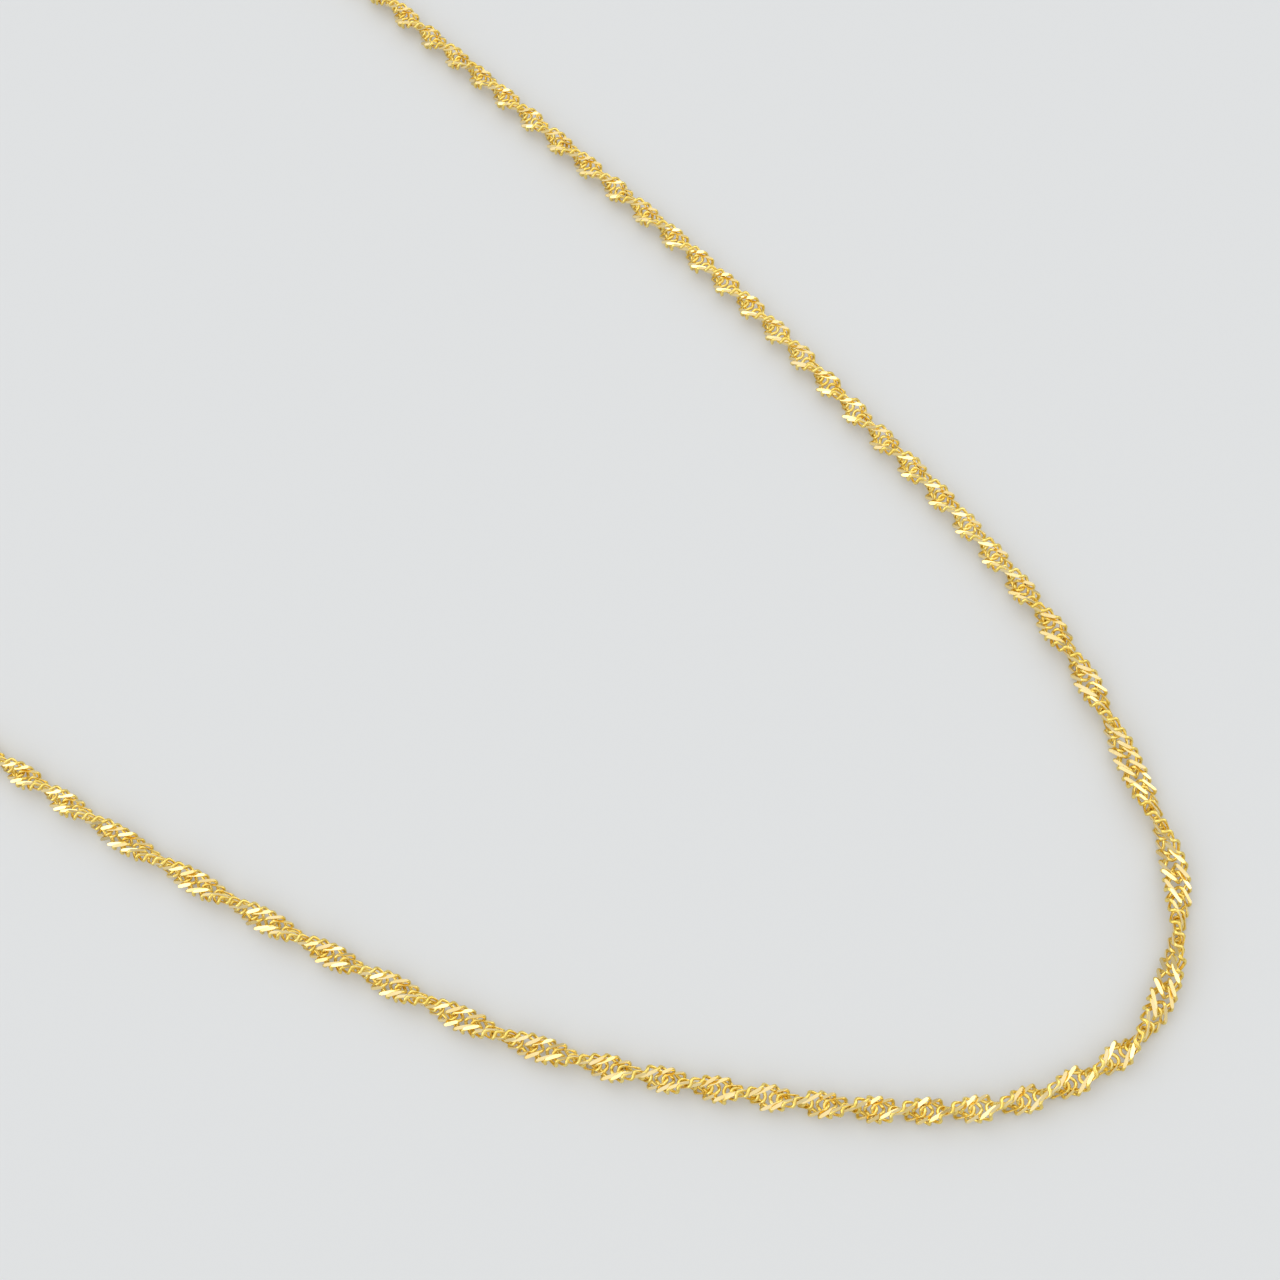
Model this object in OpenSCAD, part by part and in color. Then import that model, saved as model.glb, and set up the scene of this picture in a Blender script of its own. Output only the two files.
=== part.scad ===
// Singapore chain necklace, 457 mm (18 in) from end to end and closed by its clasp.
// Millimetres, +Z up. The loop lies flat on z = 0, front at -Y, clasp at the back at +Y.
// The chain is a ribbon of curb links twisted about its length. Here it is a solid of
// the round space that the twisted ribbon takes up. The fastening is at its true shape.

/* [Chain] */
// Width of the flat curb ribbon, and so the diameter of the twisted chain
chain_w = 1.8; // [1.4:0.1:2.2]

/* [End links] */
// Length of the oval link that closes each end of the chain, over its wire
link_l = 2.8; // [2.6:0.1:3.2]
// Width of that link, over its wire
link_w = 1.8; // [1.7:0.1:2.2]
// Wire of the end links
link_wire = 0.4; // [0.3:0.05:0.45]

/* [Jump rings] */
// Diameter of both jump rings, at the middle of the wire
ring_d = 2.8; // [2.6:0.1:3.4]
// Wire of both jump rings
ring_wire = 0.5; // [0.35:0.05:0.5]
// Angle between a jump ring and the table, with its lowest wire on the table
ring_lean = 50; // [50:1:75]

/* [Clasp] */
// Diameter of the round clasp, at the middle of its wire
clasp_d = 4.9; // [4.4:0.1:6.4]
// Wire of the clasp's ring
clasp_wire = 1.0; // [0.8:0.05:1.2]
// Diameter of the clasp's small eye, at the middle of its wire
eye_d = 1.8; // [1.8:0.1:2.2]
// Wire of the eye
eye_wire = 0.5; // [0.4:0.05:0.5]
// Diameter of the thumb knob
knob_d = 0.8; // [0.6:0.1:1]
// How far the knob stands out of the clasp's wire
knob_out = 0.5; // [0.3:0.1:0.8]

/* [Fit] */
// Play between pieces that hang in each other
play = 0.15; // [0.12:0.01:0.2]

/* [Hidden] */
$fn = 48;
gold = [0.91, 0.75, 0.40];

// Heights: the chain's axis, and the wire of a leaning jump ring at its left and right
axis_z = chain_w / 2;
fasten_z = ring_d / 2 * sin(ring_lean) + ring_wire / 2;

// An end link rises from the chain's axis to the jump ring: its length up to that ring's wire
link_reach = link_l - link_wire - link_wire / 2 - play - ring_wire / 2;
link_rise = asin((fasten_z - axis_z) / link_reach);
link_turn = ring_lean - 90;

// The fastening along X, from the chain's left end to its right end, measured from that left end
link_start = play + link_wire / 2;
catch_left = link_start + link_reach * cos(link_rise);
catch_right = catch_left + ring_d;
clasp_mid = catch_right - ring_wire / 2 - play - clasp_wire / 2 + clasp_d / 2;
eye_proud = 0.05;
eye_reach = clasp_d / 2 + clasp_wire / 2 + (eye_d - eye_wire) / 2 + eye_proud;
jump_left = clasp_mid + eye_reach;
fasten_run = jump_left + ring_d + catch_left;
end_x = fasten_run / 2;
back_y = 94;

// The knob stands on the clasp's wire at this angle from the eye
knob_angle = 48;

// The chain's axis as it lies on the table, from its right end round the front to its left end
route = [
    [end_x, back_y],
    [18.5, 91.5], [28.5, 85.5], [37, 77], [42, 66.5], [44, 55.5], [43.5, 44.5], [41, 33.5],
    [38, 22.5], [35, 12], [33, 1], [31.5, -10.5], [30, -21.5], [28.5, -32.5], [26.5, -44],
    [24, -55], [21.5, -66], [18, -77], [13.5, -85.5], [8.5, -92.5], [0.5, -96], [-7, -93.5],
    [-13, -87.5], [-19.5, -77], [-24.5, -66.5], [-27.5, -56], [-30, -44.5], [-32, -33.5],
    [-33.5, -22.5], [-35.5, -10.5], [-38, 2], [-40.5, 14], [-42.5, 26], [-44, 38.5],
    [-44, 51], [-42, 63], [-37, 74], [-29.5, 84], [-19.5, 91],
    [-end_x, back_y]
];
// Rings of the solid to each span of the route, and sides of the solid
span_rings = 2;
sides = 8;

// Neighbour i of the route, carried on in a straight line past either end
function knot(i) =
    i < 0 ? 2 * route[0] - route[1] :
    i > len(route) - 1 ? 2 * route[len(route) - 1] - route[len(route) - 2] :
    route[i];

// Smooth curve through the route's points, t from 0 to 1 between points i and i + 1
function smooth(i, t) =
    0.5 * (2 * knot(i)
        + (knot(i + 1) - knot(i - 1)) * t
        + (2 * knot(i - 1) - 5 * knot(i) + 4 * knot(i + 1) - knot(i + 2)) * t * t
        + (3 * knot(i) - knot(i - 1) - 3 * knot(i + 1) + knot(i + 2)) * t * t * t);

// Centres of the rings, and the direction of the chain at each
last_span = len(route) - 2;
centres = concat(
    [for (i = [0 : last_span], j = [0 : span_rings - 1]) smooth(i, j / span_rings)],
    [route[last_span + 1]]);
count = len(centres);
function heading(k) =
    let (step = centres[min(k + 1, count - 1)] - centres[max(k - 1, 0)])
    step / norm(step);

// One ring of the chain's solid, with a flat side down so that it lies flat on the table
corner_r = chain_w / 2 / cos(180 / sides);
function ring_points(k) =
    let (way = k == 0 || k == count - 1 ? [1, 0] : heading(k))
    [for (j = [0 : sides - 1])
        let (a = (j + 0.5) * 360 / sides)
        [centres[k][0] - way[1] * corner_r * cos(a),
         centres[k][1] + way[0] * corner_r * cos(a),
         axis_z + corner_r * sin(a)]];

// Joins a row of rings into one closed solid
module swept(rings) {
    n = len(rings[0]);
    last = len(rings) - 1;
    first_cap = [for (j = [0 : n - 1]) j];
    last_cap = [for (j = [n - 1 : -1 : 0]) last * n + j];
    walls = [for (k = [0 : last - 1], j = [0 : n - 1])
        let (a = k * n + j, b = k * n + (j + 1) % n)
        each [[a, a + n, b], [b, a + n, b + n]]];
    polyhedron(points = [for (r = rings) each r], faces = concat([first_cap], [last_cap], walls));
}

// Closed ring of round wire, lying flat, sized at the middle of the wire
module wire_ring(d, wire) {
    rotate_extrude() translate([d / 2, 0]) circle(d = wire);
}

// Closed oval link of round wire, lying flat along X, sized over the wire
module oval_link(l, w, wire) {
    bend = (w - wire) / 2;
    straight = l - w;
    for (side = [-1, 1]) {
        translate([side * straight / 2, 0, 0]) rotate([0, 0, -side * 90])
            rotate_extrude(angle = 180) translate([bend, 0]) circle(d = wire);
        translate([-straight / 2, side * bend, 0]) rotate([0, 90, 0])
            cylinder(h = straight, d = wire);
    }
}

// Oval link that rises from the chain's end to a jump ring, and stands square to that ring
module end_link() {
    translate([link_start, 0, axis_z]) rotate([0, -link_rise, 0]) rotate([link_turn, 0, 0])
        translate([(link_l - link_wire) / 2, 0, 0]) oval_link(link_l, link_w, link_wire);
}

// Jump ring leaning on the table, with its left side at x
module leaning_ring(x) {
    translate([x + ring_d / 2 - end_x, back_y, fasten_z]) rotate([ring_lean, 0, 0])
        wire_ring(ring_d, ring_wire);
}

// The twisted chain, as the solid that it takes up
module chain() {
    color(gold) swept([for (k = [0 : count - 1]) ring_points(k)]);
}

// Oval link at the chain's left end
module end_link_left() {
    color(gold) translate([-end_x, back_y, 0]) end_link();
}

// Oval link at the chain's right end
module end_link_right() {
    color(gold) translate([end_x, back_y, 0]) mirror([1, 0, 0]) end_link();
}

// Jump ring of the left end, which the clasp closes on
module catch_ring() {
    color(gold) leaning_ring(catch_left);
}

// Jump ring of the right end, which holds the clasp by its eye
module jump_ring() {
    color(gold) leaning_ring(jump_left);
}

// Round clasp, closed, with its eye and thumb knob, as one plain piece
module clasp() {
    color(gold) translate([clasp_mid - end_x, back_y, fasten_z]) {
        wire_ring(clasp_d, clasp_wire);
        translate([eye_reach, 0, 0]) wire_ring(eye_d, eye_wire);
        rotate([0, 0, knob_angle]) translate([clasp_d / 2, 0, 0]) rotate([0, 90, 0])
            cylinder(h = clasp_wire / 2 + knob_out, d = knob_d);
    }
}

chain();
end_link_left();
end_link_right();
catch_ring();
clasp();
jump_ring();
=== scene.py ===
import math
import random

import bmesh
import bpy
from mathutils import Matrix, Vector


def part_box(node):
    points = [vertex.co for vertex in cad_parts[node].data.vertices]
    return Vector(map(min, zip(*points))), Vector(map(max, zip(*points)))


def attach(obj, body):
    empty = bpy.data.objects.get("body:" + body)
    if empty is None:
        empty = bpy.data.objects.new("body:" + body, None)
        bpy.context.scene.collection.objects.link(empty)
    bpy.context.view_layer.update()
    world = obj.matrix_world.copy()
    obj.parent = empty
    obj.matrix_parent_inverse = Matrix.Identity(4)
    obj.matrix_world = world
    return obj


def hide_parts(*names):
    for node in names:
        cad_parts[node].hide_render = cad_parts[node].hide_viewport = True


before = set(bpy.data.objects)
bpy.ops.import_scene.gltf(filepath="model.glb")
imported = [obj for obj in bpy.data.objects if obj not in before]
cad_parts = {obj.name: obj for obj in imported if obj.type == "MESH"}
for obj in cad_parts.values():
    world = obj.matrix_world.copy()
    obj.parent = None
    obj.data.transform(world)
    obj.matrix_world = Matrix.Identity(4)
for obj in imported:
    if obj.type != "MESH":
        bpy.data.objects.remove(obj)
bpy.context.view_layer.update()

MM = 0.001

# Chain: the ribbon is as wide as the chain's solid is high
CHAIN_LOW, CHAIN_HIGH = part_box("chain")
RIBBON_W = CHAIN_HIGH.z - CHAIN_LOW.z
AXIS_Z = (CHAIN_LOW.z + CHAIN_HIGH.z) / 2

# The chain's axis on the table, from its right end round the front to its left end
ROUTE = [
    (0.0075, 0.094), (0.0185, 0.0915), (0.0285, 0.0855), (0.037, 0.077), (0.042, 0.0665),
    (0.044, 0.0555), (0.0435, 0.0445), (0.041, 0.0335), (0.038, 0.0225), (0.035, 0.012),
    (0.033, 0.001), (0.0315, -0.0105), (0.030, -0.0215), (0.0285, -0.0325), (0.0265, -0.044),
    (0.024, -0.055), (0.0215, -0.066), (0.018, -0.077), (0.0135, -0.0855), (0.0085, -0.0925),
    (0.0005, -0.096), (-0.007, -0.0935), (-0.013, -0.0875), (-0.0195, -0.077),
    (-0.0245, -0.0665), (-0.0275, -0.056), (-0.030, -0.0445), (-0.032, -0.0335),
    (-0.0335, -0.0225), (-0.0355, -0.0105), (-0.038, 0.002), (-0.0405, 0.014),
    (-0.0425, 0.026), (-0.044, 0.0385), (-0.044, 0.051), (-0.042, 0.063), (-0.037, 0.074),
    (-0.0295, 0.084), (-0.0195, 0.091), (-0.0075, 0.094),
]
# Steps of the smooth curve from one point to the next, and how far before and after a place
# the curve is looked at for its heading
SPAN_STEPS = 60
SIGHT = 0.3 * MM

# Link: round wire bent over and under, from the edges of the ribbon to its middle line. Its two
# tips reach so far along the ribbon, it goes over and under by RISE, and its sides lean by SLANT.
# The sizes were picked so that the links fit through each other, not measured: in the photo the
# strands read 0.24 to 0.39 mm thick, and the pairs 1.39 to 1.70 mm apart.
WIRE = 0.24 * MM
TIP_INNER = 1.22 * MM
TIP_OUTER = 0.97 * MM
HALF_W = RIBBON_W / 2 - WIRE / 2
RISE = 0.38 * MM
SLANT = -0.06 * MM
LINK_CORNERS = [
    (TIP_INNER, 0, RISE), (TIP_INNER, 0, -RISE),
    (SLANT, HALF_W, -RISE), (-SLANT, HALF_W, RISE),
    (-TIP_OUTER, 0, RISE), (-TIP_OUTER, 0, -RISE),
    (-SLANT, -HALF_W, -RISE), (SLANT, -HALF_W, RISE),
]
# Steps round each corner of the wire, and flat sides that its round section is drawn with
CORNER_STEPS = 6
LINK_SIDES = 10

# Diamond cut: the height above the ribbon's middle at which the tool planes the links flat
FACE_CUT = 0.38 * MM

# Ribbon: how far along the chain (mm) so many half turns are made, left-handed for -1. The rows
# from 113.3 to 307 were read from the photo. Six were then left out and three moved, so
# that the links clear better, which shifts narrow places by up to 1.2 mm. The two end rows turn
# the ribbon so that the last links hang freely in the end links.
RIBBON_HAND = -1
RIBBON = [
    # along, half turns
    (0.0, 6.51),
    (113.3, 30.0), (130.1, 35.0), (147.4, 40.0), (162.6, 45.0), (178.2, 50.0),
    (190.4, 54.0), (194.5, 55.0), (199.4, 56.0), (207.1, 57.0), (214.2, 58.0),
    (221.3, 59.0), (224.6, 60.0), (240.0, 65.0), (250.1, 68.0),
    (257.4, 70.0), (262.9, 71.0), (268.8, 72.0), (278.9, 74.0), (291.2, 76.0),
    (298.1, 77.0), (307.0, 79.0),
    (442.0, 105.96),
]
RIBBON_START = math.radians(95)

# Pairs: how far apart along the chain the two mates of a pair are, and one pair from the next.
# The mates are turned apart with the ribbon's twist. That clears most of the wires, but 249 of
# 3,579 pairs of nearby links still touch. Each link hangs a little loose.
MATE_STEP = 0.70 * MM
PAIR_PITCH = 1.48 * MM
MATE_TURN = math.radians(14)
LOOSE_TILT = math.radians(1.2)
LOOSE_SEED = 11

# Most triangles in one piece of the chain
PIECE_TRIANGLES = 190000

# Gold: how far apart the colour of the layer drifts, how far apart its gloss changes, and the
# values of the drift at which the colour is at its deepest and at its lightest
DRIFT = 1.5 * MM
RUB = 0.4 * MM
DRIFT_DEEP = 0.35
DRIFT_LIGHT = 0.65

# Table: how far the card on it reaches each way, so that its edge stays out of sight
FLOOR_REACH = 8

# Camera: where it looks, how far off it stands, and how it is turned
LOOK_AT = Vector((0.0014, -0.05353, AXIS_Z))
CAMERA_DISTANCE = 0.139
CAMERA_HEIGHT_ANGLE = math.radians(63.4)
CAMERA_HEADING = math.radians(64.29)
CAMERA_ROLL = math.radians(26)
CAMERA_LENS_MM = 56.25
CAMERA_SENSOR_MM = 36
CAMERA_NEAR = 0.005

# Light: how bright the tent is at the table's height and overhead, the height (of 1) from which
# it is at its brightest, and how bright the cards are
TENT_LOW = 0.35
TENT_HIGH = 1.03
TENT_TOP = 0.6
CARD_GLOW = 1.25
CARDS = [
    # name, place, width, height, share of the glow
    ("back_card", (0.12, 0.24, 0.54), 0.3, 0.3, 0.09),
    ("left_card", (-0.5, 0.2, 0.32), 0.4, 0.35, 0.14),
    ("right_card", (0.55, -0.3, 0.25), 0.4, 0.35, 0.14),
]


def linear(hex_colour):
    """sRGB hex to linear RGBA."""
    value = hex_colour.lstrip("#")
    channels = [int(value[i:i + 2], 16) / 255 for i in (0, 2, 4)]
    return tuple(c / 12.92 if c <= 0.04045 else ((c + 0.055) / 1.055) ** 2.4
                 for c in channels) + (1.0,)


def add_node(tree, kind, values=None, links=None, **settings):
    """Adds a node with its settings, its input values, and links into its inputs."""
    node = tree.nodes.new(kind)
    for name, value in settings.items():
        setattr(node, name, value)
    for key, value in (values or {}).items():
        node.inputs[key].default_value = value
    for key, socket in (links or {}).items():
        tree.links.new(socket, node.inputs[key])
    return node


def new_material(name):
    material = bpy.data.materials.new(name)
    material.use_nodes = True
    material.node_tree.nodes.clear()
    return material, material.node_tree


def gold_metal(name, light, deep, roughness, mark_mm, mark_depth_mm):
    """Gold-filled brass. The colour drifts from light to deep over DRIFT, where the gold layer
    is thinner, the gloss changes over RUB, where it has been handled, and marks of the given
    size and depth lie over all of it."""
    material, tree = new_material(name)
    where = add_node(tree, "ShaderNodeTexCoord").outputs["Object"]
    drift = add_node(tree, "ShaderNodeTexNoise", {"Scale": 1 / DRIFT, "Detail": 3.0},
                     {"Vector": where})
    tint = add_node(tree, "ShaderNodeValToRGB", links={"Fac": drift.outputs["Fac"]})
    tint.color_ramp.elements[0].position = DRIFT_DEEP
    tint.color_ramp.elements[0].color = linear(deep)
    tint.color_ramp.elements[1].position = DRIFT_LIGHT
    tint.color_ramp.elements[1].color = linear(light)
    rub = add_node(tree, "ShaderNodeTexNoise", {"Scale": 1 / RUB, "Detail": 2.0},
                   {"Vector": where})
    gloss = add_node(tree, "ShaderNodeMapRange",
                     {"To Min": roughness * 0.7, "To Max": roughness * 1.3},
                     {"Value": rub.outputs["Fac"]})
    marks = add_node(tree, "ShaderNodeTexNoise", {"Scale": 1 / (mark_mm * MM), "Detail": 2.0},
                     {"Vector": where})
    bump = add_node(tree, "ShaderNodeBump", {"Strength": 0.3, "Distance": mark_depth_mm * MM},
                    {"Height": marks.outputs["Fac"]})
    surface = add_node(tree, "ShaderNodeBsdfPrincipled", {"Metallic": 1.0},
                       {"Base Color": tint.outputs["Color"], "Roughness": gloss.outputs["Result"],
                        "Normal": bump.outputs["Normal"]})
    add_node(tree, "ShaderNodeOutputMaterial", links={"Surface": surface.outputs["BSDF"]})
    return material


def tumbled_wire():
    # Gold-filled wire, drawn and then tumbled in steel shot: warm yellow, with soft broken
    # gleams from its fine dimples. The real dimples are about 0.01 mm across, too fine to show,
    # and are drawn at 0.05 mm.
    return gold_metal("tumbled_gold_filled_wire", "FBE38A", "F3D46A", 0.2, 0.05, 0.004)


def diamond_cut_painted_paler():
    # The same wire planed by a diamond tool: flat, nearly mirror-bright faces, so each one is
    # pale and even when it meets the light and plain gold when it doesn't. Their gold is painted
    # paler and creamier than the wire's own, a painted sheen that makes their gleams read cream.
    # The tool's lines are about 0.005 mm apart, too fine to show, and are drawn at 0.03 mm.
    return gold_metal("diamond_cut_gold_painted_paler", "FCE8B2", "F9DF9A", 0.16, 0.03, 0.001)


def polished_fittings():
    # Gold-filled rings and clasp, buffed on a soft wheel: long smooth gleams along the wire.
    # The wheel's marks are about 0.02 mm across and are drawn at 0.08 mm.
    return gold_metal("polished_gold_filled", "FBE38A", "F3D46A", 0.14, 0.08, 0.003)


def matt_card():
    # Uncoated white card: a soft even surface with no gleam. Its fibres are about 0.05 mm
    # across, too fine to show, and are drawn at 0.5 mm.
    material, tree = new_material("matt_white_card")
    where = add_node(tree, "ShaderNodeTexCoord").outputs["Object"]
    fibres = add_node(tree, "ShaderNodeTexNoise", {"Scale": 1 / (0.5 * MM), "Detail": 4.0},
                      {"Vector": where})
    bump = add_node(tree, "ShaderNodeBump", {"Strength": 0.05, "Distance": 0.02 * MM},
                    {"Height": fibres.outputs["Fac"]})
    surface = add_node(tree, "ShaderNodeBsdfPrincipled",
                       {"Base Color": linear("E4E6E7"), "Roughness": 0.9},
                       {"Normal": bump.outputs["Normal"]})
    add_node(tree, "ShaderNodeOutputMaterial", links={"Surface": surface.outputs["BSDF"]})
    return material


def route_line():
    """The smooth curve through the route, as points and the distance run at each."""
    knots = [Vector((x, y, AXIS_Z)) for x, y in ROUTE]
    knots = [2 * knots[0] - knots[1]] + knots + [2 * knots[-1] - knots[-2]]
    points = []
    for before, here, after, beyond in zip(knots, knots[1:], knots[2:], knots[3:]):
        for step in range(SPAN_STEPS):
            t = step / SPAN_STEPS
            points.append(0.5 * (2 * here + (after - before) * t
                                 + (2 * before - 5 * here + 4 * after - beyond) * t * t
                                 + (3 * here - before - 3 * after + beyond) * t ** 3))
    points.append(knots[-2])
    runs = [0.0]
    for a, b in zip(points, points[1:]):
        runs.append(runs[-1] + (b - a).length)
    return points, runs


class Line:
    """Place and heading at any distance run along the chain."""

    def __init__(self):
        self.points, self.runs = route_line()
        self.length = self.runs[-1]
        self.at = 0

    def place(self, run):
        while self.at < len(self.runs) - 2 and self.runs[self.at + 1] < run:
            self.at += 1
        while self.at > 0 and self.runs[self.at] > run:
            self.at -= 1
        a, b = self.points[self.at], self.points[self.at + 1]
        share = (run - self.runs[self.at]) / (self.runs[self.at + 1] - self.runs[self.at])
        return a.lerp(b, share) if 0 <= share <= 1 else a + (b - a) * share

    def frame(self, run):
        """Matrix with X along the chain, Y to its left and Z up. The first and the last pair
        lie in line with the fastening, along X."""
        if PAIR_PITCH / 2 < run < self.length - PAIR_PITCH / 2:
            ahead = (self.place(run + SIGHT) - self.place(run - SIGHT)).normalized()
        else:
            ahead = Vector((1, 0, 0))
        left = Vector((0, 0, 1)).cross(ahead)
        matrix = Matrix((ahead, left, Vector((0, 0, 1)))).transposed().to_4x4()
        matrix.translation = self.place(run)
        return matrix


def twist_before(row):
    """Half turns for each millimetre from the row before to this row of the ribbon's table."""
    return ((RIBBON[row][1] - RIBBON[row - 1][1])
            / (RIBBON[row][0] - RIBBON[row - 1][0]))


def twist_at(row):
    """Half turns for each millimetre at a row, between those before and after it."""
    last = len(RIBBON) - 1
    if row <= 0 or row >= last:
        return twist_before(min(max(row, 1), last))
    before, after = twist_before(row), twist_before(row + 1)
    return 2 * before * after / (before + after)


def half_turns(run):
    """Half turns that the ribbon has made, smooth between the rows of its table."""
    along = run / MM
    row = 0
    while row < len(RIBBON) - 2 and RIBBON[row + 1][0] < along:
        row += 1
    start, turns = RIBBON[row]
    end, end_turns = RIBBON[row + 1]
    width = end - start
    t = min(max((along - start) / width, 0), 1)
    return ((2 * t ** 3 - 3 * t ** 2 + 1) * turns
            + (t ** 3 - 2 * t ** 2 + t) * width * twist_at(row)
            + (3 * t ** 2 - 2 * t ** 3) * end_turns
            + (t ** 3 - t ** 2) * width * twist_at(row + 1))


def wire_path():
    """Points along a link's wire, and its direction at each: its corners, rounded off."""
    corners = [Vector(c) for c in LINK_CORNERS]
    path = []
    for k, corner in enumerate(corners):
        start = (corners[k - 1] + corner) / 2
        end = (corner + corners[(k + 1) % len(corners)]) / 2
        for step in range(CORNER_STEPS):
            t = step / CORNER_STEPS
            path.append((start * (1 - t) ** 2 + corner * 2 * t * (1 - t) + end * t * t,
                         ((corner - start) * (1 - t) + (end - corner) * t).normalized()))
    return path


def link_form():
    """One link: round wire swept along its path, then planed flat by the diamond tool."""
    form = bmesh.new()
    rings = []
    for centre, ahead in wire_path():
        out = (centre - ahead * centre.dot(ahead)).normalized()
        side = ahead.cross(out)
        rings.append([form.verts.new(centre + (out * math.cos(a) + side * math.sin(a)) * WIRE / 2)
                      for a in (2 * math.pi * j / LINK_SIDES for j in range(LINK_SIDES))])
    for k, ring in enumerate(rings):
        beyond = rings[(k + 1) % len(rings)]
        for j in range(LINK_SIDES):
            i = (j + 1) % LINK_SIDES
            face = form.faces.new((ring[j], beyond[j], beyond[i], ring[i]))
            face.smooth = True
    for side in (-1, 1):
        everything = form.verts[:] + form.edges[:] + form.faces[:]
        bmesh.ops.bisect_plane(form, geom=everything, plane_co=(0, 0, side * FACE_CUT),
                               plane_no=(0, 0, side), clear_outer=True)
        rim = [e for e in form.edges if e.is_boundary]
        for face in bmesh.ops.holes_fill(form, edges=rim)["faces"]:
            face.smooth = False
            # Slot 1 is the diamond-cut gold, painted paler than the wire as a painted sheen
            face.material_index = 1
    bmesh.ops.recalc_face_normals(form, faces=form.faces[:])
    return form


def link_places(line):
    """Matrix of each link: two to a pair, the second turned end for end."""
    loose = random.Random(LOOSE_SEED)
    places = []
    pairs = round(line.length / PAIR_PITCH)
    pitch = line.length / pairs
    for k in range(pairs + 1):
        run = k * pitch
        turn = RIBBON_START + RIBBON_HAND * math.pi * half_turns(run)
        base = line.frame(run) @ Matrix.Rotation(turn, 4, "X")
        for end in (1, -1):
            tilt = [loose.gauss(0, LOOSE_TILT) for _ in range(3)]
            wobble = (Matrix.Rotation(tilt[0] + end * MATE_TURN, 4, "X")
                      @ Matrix.Rotation(tilt[1] / 2, 4, "Y")
                      @ Matrix.Rotation(tilt[2] / 2, 4, "Z"))
            flip = Matrix.Rotation(0 if end == 1 else math.pi, 4, "Z")
            places.append(base @ Matrix.Translation((-end * MATE_STEP / 2, 0, 0)) @ wobble @ flip)
    return places


def chain_piece(name, form, places, materials):
    """One stretch of the chain as one mesh."""
    corners = [v.co.copy() for v in form.verts]
    for i, v in enumerate(form.verts):
        v.index = i
    faces = [[v.index for v in f.verts] for f in form.faces]
    smooth = [f.smooth for f in form.faces]
    slots = [f.material_index for f in form.faces]
    mesh = bpy.data.meshes.new(name)
    points, polygons = [], []
    for place in places:
        first = len(points)
        points.extend(place @ c for c in corners)
        polygons.extend([first + i for i in f] for f in faces)
    mesh.from_pydata(points, [], polygons)
    mesh.polygons.foreach_set("use_smooth", smooth * len(places))
    mesh.polygons.foreach_set("material_index", slots * len(places))
    for material in materials:
        mesh.materials.append(material)
    piece = bpy.data.objects.new(name, mesh)
    bpy.context.scene.collection.objects.link(piece)
    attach(piece, "root")
    return piece


def chain_links(materials):
    line = Line()
    form = link_form()
    places = link_places(line)
    triangles = sum(len(f.verts) - 2 for f in form.faces)
    count = math.ceil(len(places) * triangles / PIECE_TRIANGLES)
    size = math.ceil(len(places) / count)
    print("links", len(places), "triangles each", triangles, "pieces", count)
    for k in range(count):
        piece = chain_piece(f"chain_links_{k + 1}", form, places[k * size:(k + 1) * size], materials)
        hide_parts("chain")
    form.free()


def floor():
    mesh = bpy.data.meshes.new("floor")
    form = bmesh.new()
    bmesh.ops.create_grid(form, x_segments=8, y_segments=8, size=FLOOR_REACH)
    form.to_mesh(mesh)
    form.free()
    mesh.materials.append(matt_card())
    table = bpy.data.objects.new("floor", mesh)
    bpy.context.scene.collection.objects.link(table)


def card(name, place, width, height, power):
    """Pale card that shows as a gleam in the metal and casts no light on the table."""
    lamp = bpy.data.lights.new(name, "AREA")
    lamp.shape = "RECTANGLE"
    lamp.size = width
    lamp.size_y = height
    lamp.energy = power
    lamp.color = linear("FFFAF0")[:3]
    light = bpy.data.objects.new(name, lamp)
    light.location = place
    light.rotation_euler = (LOOK_AT - Vector(place)).to_track_quat("-Z", "Y").to_euler()
    light.visible_diffuse = False
    bpy.context.scene.collection.objects.link(light)


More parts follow.
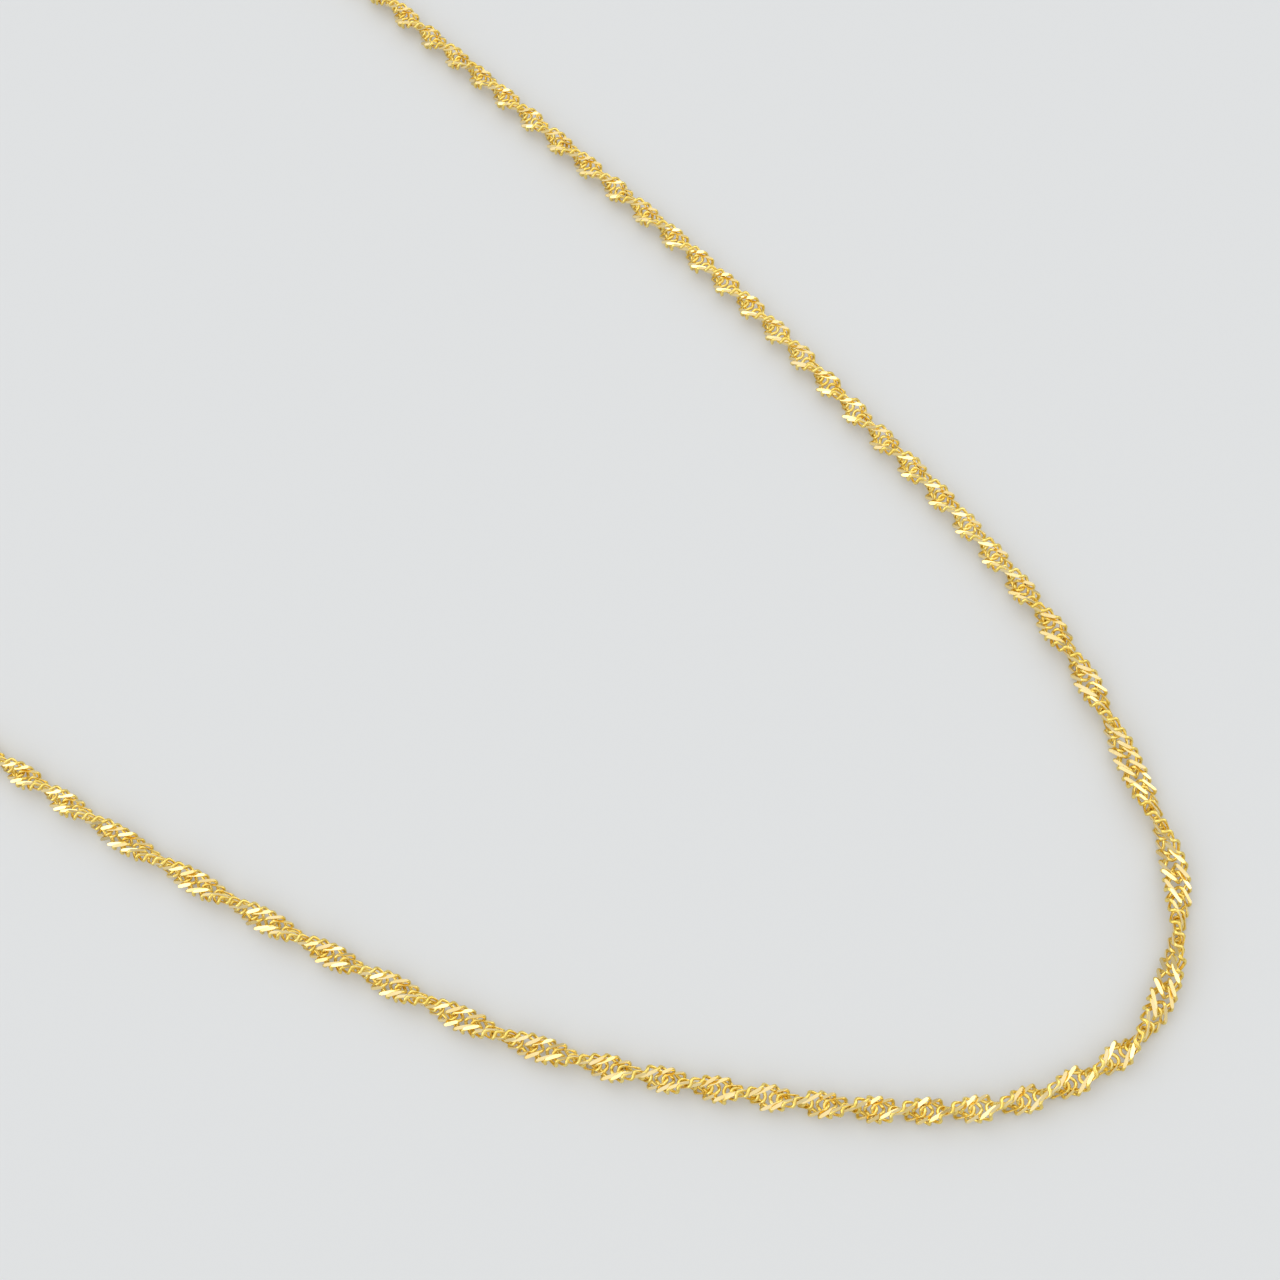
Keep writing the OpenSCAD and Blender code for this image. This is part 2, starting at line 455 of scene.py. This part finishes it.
def studio():
    """A tent of soft light, brightest overhead, and the cards."""
    world = bpy.data.worlds.new("studio")
    bpy.context.scene.world = world
    world.use_nodes = True
    tree = world.node_tree
    tree.nodes.clear()
    way = add_node(tree, "ShaderNodeTexCoord").outputs["Generated"]
    sky_height = add_node(tree, "ShaderNodeSeparateXYZ", links={"Vector": way}).outputs["Z"]
    glow = add_node(tree, "ShaderNodeMapRange",
                    {"From Min": 0.0, "From Max": TENT_TOP,
                     "To Min": TENT_LOW, "To Max": TENT_HIGH},
                    {"Value": sky_height})
    tent = add_node(tree, "ShaderNodeBackground", {"Color": linear("FFFFFF")},
                    {"Strength": glow.outputs["Result"]})
    add_node(tree, "ShaderNodeOutputWorld", links={"Surface": tent.outputs["Background"]})
    for name, place, width, height, share in CARDS:
        card(name, place, width, height, CARD_GLOW * share * math.pi)
    bpy.context.scene.view_settings.view_transform = "Standard"


def camera():
    heading = Vector((math.cos(CAMERA_HEADING), math.sin(CAMERA_HEADING), 0))
    ahead = (heading * math.cos(CAMERA_HEIGHT_ANGLE)
             - Vector((0, 0, 1)) * math.sin(CAMERA_HEIGHT_ANGLE))
    level = heading.cross(Vector((0, 0, 1)))
    upward = level.cross(ahead)
    right = level * math.cos(CAMERA_ROLL) - upward * math.sin(CAMERA_ROLL)
    up = level * math.sin(CAMERA_ROLL) + upward * math.cos(CAMERA_ROLL)
    lens = bpy.data.cameras.new("camera")
    lens.sensor_width = CAMERA_SENSOR_MM
    lens.lens = CAMERA_LENS_MM
    lens.clip_start = CAMERA_NEAR
    lens.dof.use_dof = False
    view = bpy.data.objects.new("camera", lens)
    matrix = Matrix((right, up, -ahead)).transposed().to_4x4()
    matrix.translation = LOOK_AT - ahead * CAMERA_DISTANCE
    view.matrix_world = matrix
    bpy.context.scene.collection.objects.link(view)
    bpy.context.scene.camera = view


camera()
chain_links([tumbled_wire(), diamond_cut_painted_paler()])
polished = polished_fittings()
for name in ("end_link_left", "end_link_right", "catch_ring", "clasp", "jump_ring"):
    for material_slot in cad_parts[name].material_slots:
        material_slot.material = polished
floor()
studio()
